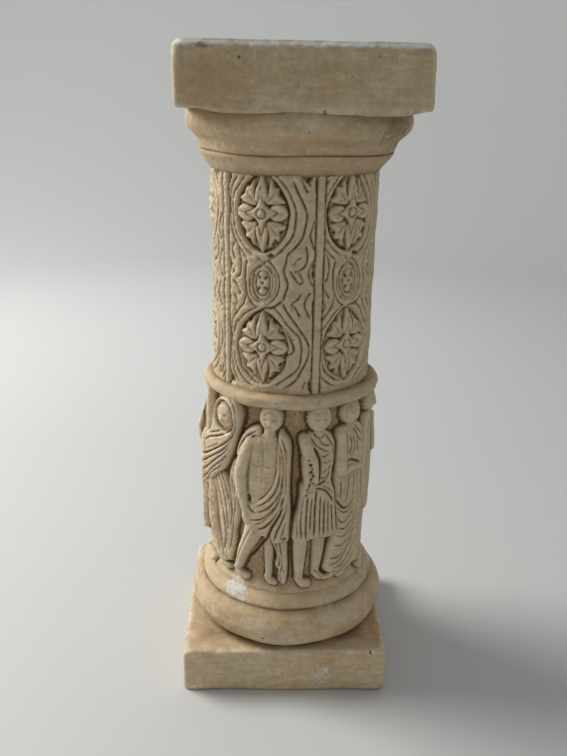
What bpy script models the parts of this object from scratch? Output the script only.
# Plaster column, cast in one: a square plinth, a turned base, a drum with a row of figures,
# a ring, a shaft carved with knotted bands and flowers, a turned capital and a square abacus.
# The underside of the plinth is at height 0, and the front of the carving faces -Y.

import math

import bmesh
import bpy

# Heights, from the floor up, in metres
PLINTH_HEIGHT = 0.0232
FOOT_GROOVE_HEIGHT = 0.0028
TORUS_HEIGHT = 0.0176
MOULDING_HEIGHT = 0.0048
FRIEZE_HEIGHT = 0.0981
RING_HEIGHT = 0.0077
SHAFT_HEIGHT = 0.0958
COLLAR_HEIGHT = 0.0080
ECHINUS_HEIGHT = 0.0184
ABACUS_HEIGHT = 0.0236

# Widths and radii
PLINTH_WIDTH = 0.1000
ABACUS_WIDTH = 0.1000
FOOT_GROOVE_RADIUS = 0.0458
TORUS_RADIUS = 0.0503
TORUS_TOP_RADIUS = 0.0442
FRIEZE_RADIUS = 0.0365
RING_RADIUS = 0.0422
SHAFT_RADIUS_FOOT = 0.0376
SHAFT_RADIUS_HEAD = 0.0381
COLLAR_RADIUS = 0.0436
ECHINUS_NECK_RADIUS = 0.0446
ECHINUS_RADIUS = 0.0506

# Reliefs, rounded edges and the small shifts of a hand-made mould
FIGURE_RELIEF = 0.0066
PANEL_SINK = 0.0020
PANEL_END_SLOPE = 0.0040
NOTCH_DEPTH = 0.0009
EDGE_ROUNDING = 0.0022
CORNER_ROUNDING = 0.0030
ABACUS_BELLY = 0.0022
SHAFT_SHIFT_FOOT = 0.0017
SHAFT_SHIFT_HEAD = 0.0012
CAPITAL_SHIFT = 0.0028
CARVING_TURN = -1.4

# Points round each section
TURNED_POINTS = 48
FRIEZE_POINTS = 110
PANEL_POINTS = 16
FRIEZE_ROWS = 23
SIDE_POINTS = 6
CORNER_POINTS = 3

PLASTER_COLOUR = (0.62, 0.53, 0.40, 1.0)

# Levels that follow from the heights
TORUS_FOOT = PLINTH_HEIGHT + FOOT_GROOVE_HEIGHT
MOULDING_FOOT = TORUS_FOOT + TORUS_HEIGHT
FRIEZE_FOOT = MOULDING_FOOT + MOULDING_HEIGHT
RING_FOOT = FRIEZE_FOOT + FRIEZE_HEIGHT
SHAFT_FOOT = RING_FOOT + RING_HEIGHT
COLLAR_FOOT = SHAFT_FOOT + SHAFT_HEIGHT
ECHINUS_FOOT = COLLAR_FOOT + COLLAR_HEIGHT
ABACUS_FOOT = ECHINUS_FOOT + ECHINUS_HEIGHT
COLUMN_TOP = ABACUS_FOOT + ABACUS_HEIGHT


def limb(angle_a, share_a, angle_b, share_b, width_a, width_b, proud):
    # One rounded stroke of a figure, from end a to end b. Angles are degrees from the figure's
    # middle, shares and half-widths are parts of the frieze's height, proud is part of the relief.
    return (angle_a, share_a, angle_b, share_b, width_a, width_b, proud)


MAN_IN_CLOAK = (
    limb(5, 0.97, 4, 0.93, 0.052, 0.046, 1.00),  # head
    limb(4, 0.90, 3, 0.86, 0.030, 0.040, 0.75),  # neck
    limb(-8, 0.84, 7, 0.85, 0.036, 0.036, 0.80),  # shoulders
    limb(0, 0.82, -1, 0.56, 0.070, 0.062, 0.88),  # chest and belly
    limb(-10, 0.82, -17, 0.67, 0.036, 0.038, 0.95),  # upper arm
    limb(-17, 0.67, -13, 0.45, 0.038, 0.030, 1.00),  # forearm
    limb(10, 0.87, 15, 0.68, 0.030, 0.036, 0.90),  # cloak on the shoulder
    limb(14, 0.66, -3, 0.47, 0.036, 0.060, 0.95),  # cloak across the hips
    limb(-3, 0.44, -14, 0.26, 0.062, 0.052, 1.00),  # bent thigh
    limb(-14, 0.26, -19, 0.09, 0.045, 0.032, 0.85),  # shin
    limb(13, 0.50, 11, 0.32, 0.036, 0.036, 0.85),  # hanging end
    limb(3, 0.30, 3, 0.07, 0.028, 0.026, 0.65),  # straight leg
)

MAN_IN_TUNIC = (
    limb(0, 0.97, 1, 0.93, 0.056, 0.050, 1.00),  # head
    limb(1, 0.90, 2, 0.86, 0.032, 0.040, 0.70),  # neck
    limb(-9, 0.84, 9, 0.84, 0.034, 0.034, 0.85),  # shoulders
    limb(2, 0.82, 3, 0.63, 0.066, 0.056, 0.85),  # chest
    limb(-9, 0.82, -6, 0.70, 0.036, 0.034, 1.00),  # upper arm
    limb(-6, 0.70, -3, 0.58, 0.034, 0.030, 0.95),  # forearm
    limb(0, 0.58, -2, 0.38, 0.070, 0.094, 0.95),  # pleated skirt
    limb(-11, 0.32, -12, 0.07, 0.034, 0.030, 0.80),  # left leg
    limb(4, 0.32, 1, 0.08, 0.040, 0.036, 0.45),  # right leg
)

WOMAN_IN_DRESS = (
    limb(-1, 0.97, 1, 0.94, 0.058, 0.054, 0.95),  # head
    limb(0, 0.90, 0, 0.86, 0.040, 0.046, 0.75),  # neck
    limb(-8, 0.83, 9, 0.84, 0.036, 0.036, 0.85),  # shoulders
    limb(1, 0.82, 2, 0.68, 0.066, 0.066, 0.80),  # chest
    limb(-9, 0.82, -9, 0.67, 0.038, 0.036, 1.00),  # upper arm
    limb(-8, 0.65, 11, 0.66, 0.030, 0.026, 1.00),  # forearm
    limb(0, 0.60, 1, 0.14, 0.074, 0.104, 0.90),  # dress
    limb(10, 0.62, 12, 0.20, 0.030, 0.040, 0.75),  # folds that fall from the hand
)

VEILED_WOMAN = (
    limb(5, 0.93, 4, 0.90, 0.060, 0.060, 1.00),  # head in its veil
    limb(13, 0.93, 14, 0.82, 0.036, 0.034, 0.70),  # edge of the veil
    limb(-6, 0.83, 8, 0.83, 0.040, 0.040, 0.85),  # shoulders
    limb(16, 0.82, -10, 0.60, 0.036, 0.060, 1.00),  # cloak drawn across
    limb(-2, 0.70, -2, 0.14, 0.090, 0.110, 0.90),  # dress
    limb(11, 0.66, 13, 0.16, 0.028, 0.032, 0.65),  # hanging hem
)

# The figures round the drum: the angle of the middle, the pose, and 1 as drawn or -1 mirrored
FIGURES = (
    (-92, WOMAN_IN_DRESS, 1),
    (-58, VEILED_WOMAN, 1),
    (-17, MAN_IN_CLOAK, 1),
    (20, MAN_IN_TUNIC, 1),
    (47, WOMAN_IN_DRESS, 1),
    (77, VEILED_WOMAN, -1),
    (110, MAN_IN_TUNIC, -1),
    (143, WOMAN_IN_DRESS, -1),
    (176, MAN_IN_CLOAK, -1),
    (208, WOMAN_IN_DRESS, 1),
    (238, MAN_IN_TUNIC, 1),
)

# The panels round the shaft: the angle of the fillet that opens each, and from there to its knot
PANELS = ((-51.0, 30.0), (17.5, 23.0), (90.4, 28.0), (163.3, 30.0), (236.1, 27.0))
FILLET_ANGLE = 4.6

# The knot, as shares of the shaft's height
KNOT_CENTRES = (0.22, 0.53, 0.84)
KNOT_HALF_WIDTHS = (0.150, 0.055, 0.150)
KNOT_HALF_HEIGHTS = (0.180, 0.070, 0.180)
BAND_WIDTH = 0.040
FLOWER_RADIUS = 0.095
BOSS_RADIUS = 0.035

# How far a limb's rounded side runs out past its half-width, and how near a figure reaches
LIMB_SPREAD = 1.25
FIGURE_REACH = 36.0


def clear_scene():
    for thing in list(bpy.data.objects):
        bpy.data.objects.remove(thing)


def mix(low, high, share):
    return low + (high - low) * min(max(share, 0.0), 1.0)


def axis_shift(height):
    # How far the round parts sit to +X of the plinth's middle
    if height < COLLAR_FOOT:
        return mix(SHAFT_SHIFT_FOOT, SHAFT_SHIFT_HEAD, height / COLLAR_FOOT)
    return mix(SHAFT_SHIFT_HEAD, CAPITAL_SHIFT, (height - COLLAR_FOOT) / ECHINUS_HEIGHT)


def place(angle, radius, height):
    turned = math.radians(angle + CARVING_TURN)
    return (radius * math.sin(turned) + axis_shift(height), -radius * math.cos(turned), height)


def quarter(start, end, steps, upright):
    # Points of a quarter ellipse after start, leaving it upright or level
    points = []
    for step in range(1, steps + 1):
        turn = math.radians(90.0 * step / steps)
        slow = 1.0 - math.cos(turn)
        fast = math.sin(turn)
        across, along = (slow, fast) if upright else (fast, slow)
        points.append((start[0] + (end[0] - start[0]) * across, start[1] + (end[1] - start[1]) * along))
    return points


def wrapped(angle):
    return (angle + 180.0) % 360.0 - 180.0


def base_profile():
    root = (FOOT_GROOVE_RADIUS * 0.9, PLINTH_HEIGHT * 0.5)
    neck = (FOOT_GROOVE_RADIUS, PLINTH_HEIGHT)
    groove_top = (FOOT_GROOVE_RADIUS, TORUS_FOOT - FOOT_GROOVE_HEIGHT * 0.3)
    lip = (mix(FOOT_GROOVE_RADIUS, TORUS_RADIUS, 0.45), TORUS_FOOT)
    widest = (TORUS_RADIUS, TORUS_FOOT + TORUS_HEIGHT * 0.34)
    top = (TORUS_TOP_RADIUS, MOULDING_FOOT)
    shoulder = (TORUS_TOP_RADIUS, MOULDING_FOOT + MOULDING_HEIGHT * 0.2)
    drum = (FRIEZE_RADIUS, FRIEZE_FOOT)
    points = [root, neck, groove_top, lip]
    points += quarter(lip, widest, 2, upright=False)
    points += quarter(widest, top, 3, upright=True)
    points.append(shoulder)
    points += quarter(shoulder, drum, 2, upright=True)
    return points


def ring_profile():
    foot = (FRIEZE_RADIUS + FIGURE_RELIEF * 0.3, RING_FOOT)
    widest = (RING_RADIUS, RING_FOOT + RING_HEIGHT * 0.45)
    head = (SHAFT_RADIUS_FOOT, SHAFT_FOOT)
    return [foot] + quarter(foot, widest, 2, upright=False) + quarter(widest, head, 2, upright=True)


def capital_profile():
    foot = (SHAFT_RADIUS_HEAD, COLLAR_FOOT)
    flare = (COLLAR_RADIUS, ECHINUS_FOOT - COLLAR_HEIGHT * 0.15)
    notch = (COLLAR_RADIUS - NOTCH_DEPTH, ECHINUS_FOOT)
    neck = (ECHINUS_NECK_RADIUS, ECHINUS_FOOT + ECHINUS_HEIGHT * 0.2)
    step = (mix(ECHINUS_NECK_RADIUS, ECHINUS_RADIUS, 0.25), ECHINUS_FOOT + ECHINUS_HEIGHT * 0.32)
    widest = (ECHINUS_RADIUS, ECHINUS_FOOT + ECHINUS_HEIGHT * 0.62)
    inside = (ECHINUS_RADIUS * 0.96, ABACUS_FOOT + ABACUS_HEIGHT * 0.3)
    points = [foot] + quarter(foot, flare, 3, upright=True)
    points += [notch, neck, step]
    points += quarter(step, widest, 2, upright=False)
    points.append(inside)
    return points


def turned_loop(radius, height):
    return [place(360.0 * k / TURNED_POINTS, radius, height) for k in range(TURNED_POINTS)]


def figure_relief(angle, share):
    # The most that any limb stands proud at this place, as a share of the relief
    width_per_degree = math.radians(1.0) * FRIEZE_RADIUS / FRIEZE_HEIGHT
    most = 0.0
    for middle, pose, hand in FIGURES:
        away = wrapped(angle - middle)
        if abs(away) > FIGURE_REACH:
            continue
        x = away * hand * width_per_degree
        for angle_a, share_a, angle_b, share_b, width_a, width_b, proud in pose:
            ax = angle_a * width_per_degree
            run = (angle_b - angle_a) * width_per_degree
            rise = share_b - share_a
            along = ((x - ax) * run + (share - share_a) * rise) / (run * run + rise * rise)
            along = min(max(along, 0.0), 1.0)
            gap = math.hypot(x - ax - along * run, share - share_a - along * rise)
            inward = 1.0 - (gap / (LIMB_SPREAD * mix(width_a, width_b, along))) ** 2
            most = max(most, proud * inward)
    return most


def frieze_loops():
    loops = []
    for row in range(1, FRIEZE_ROWS):
        share = row / FRIEZE_ROWS
        height = FRIEZE_FOOT + FRIEZE_HEIGHT * share
        loop = []
        for k in range(FRIEZE_POINTS):
            angle = 360.0 * k / FRIEZE_POINTS
            radius = FRIEZE_RADIUS + FIGURE_RELIEF * figure_relief(angle, share)
            loop.append(place(angle, radius, height))
        loops.append(loop)
    return loops


def panel_fill(away, share):
    # How full the panel is at this place: 0 is its sunk ground and 1 is the face of the fillets.
    # away is the distance round the shaft from the knot's middle, as a share of the shaft's height.
    fill = 0.0
    for centre, half_width, half_height in zip(KNOT_CENTRES, KNOT_HALF_WIDTHS, KNOT_HALF_HEIGHTS):
        spread = math.hypot(away / half_width, (share - centre) / half_height)
        off_band = abs(spread - 1.0) * half_width / BAND_WIDTH
        fill = max(fill, 1.0 - off_band)
        from_middle = math.hypot(away, share - centre)
        fill = max(fill, 0.8 * (1.0 - (from_middle / FLOWER_RADIUS) ** 2))
        fill = max(fill, 1.0 - (from_middle / BOSS_RADIUS) ** 2)
    return fill


def shaft_rows():
    # Rows through the middles and the edges of the knot's rounds, from the foot to the head
    shares = {0.0, 1.0}
    for centre, half_height in zip(KNOT_CENTRES, KNOT_HALF_HEIGHTS):
        for part in (-1.0, -0.55, 0.0, 0.55, 1.0):
            shares.add(round(min(centre + part * half_height, 1.0), 4))
    return sorted(shares)


def panel_angles():
    # Each panel gives the two edges of its fillet and then even steps to the next fillet
    rows = []
    for index, (fillet, knot) in enumerate(PANELS):
        following = PANELS[(index + 1) % len(PANELS)][0]
        span = (following - fillet) % 360.0
        rows.append((fillet - FILLET_ANGLE / 2, fillet + knot, True))
        rows.append((fillet + FILLET_ANGLE / 2, fillet + knot, True))
        for k in range(1, PANEL_POINTS + 1):
            step = FILLET_ANGLE / 2 + (span - FILLET_ANGLE) * k / (PANEL_POINTS + 1)
            rows.append((fillet + step, fillet + knot, False))
    return rows


def shaft_loops():
    loops = []
    for share in shaft_rows():
        ground = mix(SHAFT_RADIUS_FOOT, SHAFT_RADIUS_HEAD, share)
        height = SHAFT_FOOT + SHAFT_HEIGHT * share
        loop = []
        for angle, knot_angle, on_fillet in panel_angles():
            away = math.radians(wrapped(angle - knot_angle)) * ground / SHAFT_HEIGHT
            fill = 1.0 if on_fillet else panel_fill(away, share)
            from_end = min(share, 1.0 - share) * SHAFT_HEIGHT
            sunk = PANEL_SINK * (1.0 - min(fill, 1.0)) * min(from_end / PANEL_END_SLOPE, 1.0)
            loop.append(place(angle, ground - sunk, height))
        loops.append(loop)
    return loops


def bearing(point):
    # The angle of a point round its own axis, from 0 up to 360, counted from the front
    x = point[0] - axis_shift(point[2])
    return math.degrees(math.atan2(x, -point[1])) % 360.0


def add_loop(mesh, points):
    ordered = sorted(points, key=bearing)
    return [mesh.verts.new(point) for point in ordered]


def join_loops(mesh, lower, upper):
    # Triangles between two closed loops, which may have different numbers of points: the loop
    # whose next point comes first round the axis moves on
    low_angles = [bearing(v.co) for v in lower] + [360.0 + bearing(lower[0].co)]
    high_angles = [bearing(v.co) for v in upper] + [360.0 + bearing(upper[0].co)]
    low = high = 0
    while low < len(lower) or high < len(upper):
        a = lower[low % len(lower)]
        b = upper[high % len(upper)]
        move_low = high == len(upper) or (
            low < len(lower) and low_angles[low + 1] <= high_angles[high + 1]
        )
        if move_low:
            low += 1
            mesh.faces.new((a, lower[low % len(lower)], b))
        else:
            high += 1
            mesh.faces.new((a, upper[high % len(upper)], b))


def solid_from_loops(name, loops):
    mesh = bmesh.new()
    rings = [add_loop(mesh, points) for points in loops]
    for lower, upper in zip(rings, rings[1:]):
        join_loops(mesh, lower, upper)
    mesh.faces.new(list(reversed(rings[0])))
    mesh.faces.new(rings[-1])
    bmesh.ops.recalc_face_normals(mesh, faces=mesh.faces)
    data = bpy.data.meshes.new(name)
    mesh.to_mesh(data)
    mesh.free()
    data.shade_smooth()
    data.set_sharp_from_angle(angle=math.radians(35.0))
    thing = bpy.data.objects.new(name, data)
    bpy.context.scene.collection.objects.link(thing)
    return thing


def square_loop(half, height, shift, belly=0.0):
    # A square with rounded corners. A belly lowers the middle of each side below its corners.
    corner = CORNER_ROUNDING
    straight = half - corner
    points = []
    for side in range(4):
        turn = math.radians(90.0 * side)
        outline = [(straight * (2.0 * k / SIDE_POINTS - 1.0), -half) for k in range(SIDE_POINTS)]
        for k in range(CORNER_POINTS):
            swing = math.radians(90.0 * k / CORNER_POINTS)
            x = straight + corner * math.sin(swing)
            y = -straight - corner * math.cos(swing)
            outline.append((x, y))
        for x, y in outline:
            px = x * math.cos(turn) - y * math.sin(turn) + shift
            py = x * math.sin(turn) + y * math.cos(turn)
            dip = belly * max(0.0, 1.0 - (min(abs(x), half) / half) ** 2)
            points.append((px, py, height - dip))
    return points


def plinth_loops():
    half = PLINTH_WIDTH / 2
    edge = EDGE_ROUNDING
    return [
        square_loop(half - edge * 0.3, 0.0, 0.0),
        square_loop(half, edge * 0.3, 0.0),
        square_loop(half, PLINTH_HEIGHT - edge, 0.0),
        square_loop(half - edge * 0.3, PLINTH_HEIGHT - edge * 0.3, 0.0),
        square_loop(half - edge, PLINTH_HEIGHT, 0.0),
    ]


def abacus_loops():
    half = ABACUS_WIDTH / 2
    edge = EDGE_ROUNDING
    shift = CAPITAL_SHIFT
    return [
        square_loop(half * 0.5, ABACUS_FOOT + ABACUS_HEIGHT * 0.1, shift),
        square_loop(half - edge * 2.0, ABACUS_FOOT, shift, ABACUS_BELLY),
        square_loop(half, ABACUS_FOOT + edge * 0.6, shift, ABACUS_BELLY),
        square_loop(half, COLUMN_TOP - edge, shift),
        square_loop(half - edge * 0.3, COLUMN_TOP - edge * 0.3, shift),
        square_loop(half - edge, COLUMN_TOP, shift),
    ]


def plaster():
    material = bpy.data.materials.new("plaster")
    material.use_nodes = True
    shader = material.node_tree.nodes["Principled BSDF"]
    shader.inputs["Base Color"].default_value = PLASTER_COLOUR
    shader.inputs["Roughness"].default_value = 0.8
    shader.inputs["Metallic"].default_value = 0.0
    return material


def join_block(column, block):
    # The square blocks are cast in one with the round part, so each is united with it
    block.hide_render = True
    block.display_type = "WIRE"
    union = column.modifiers.new("cast with " + block.name, "BOOLEAN")
    union.operation = "UNION"
    union.solver = "EXACT"
    union.object = block


def build_column():
    loops = [turned_loop(radius, height) for radius, height in base_profile()]
    loops += frieze_loops()
    loops += [turned_loop(radius, height) for radius, height in ring_profile()[:-1]]
    loops += shaft_loops()
    loops += [turned_loop(radius, height) for radius, height in capital_profile()[1:]]
    column = solid_from_loops("column", loops)
    blocks = (
        solid_from_loops("plinth block", plinth_loops()),
        solid_from_loops("abacus block", abacus_loops()),
    )
    finish = plaster()
    column.data.materials.append(finish)
    for block in blocks:
        block.data.materials.append(finish)
        join_block(column, block)


clear_scene()
build_column()
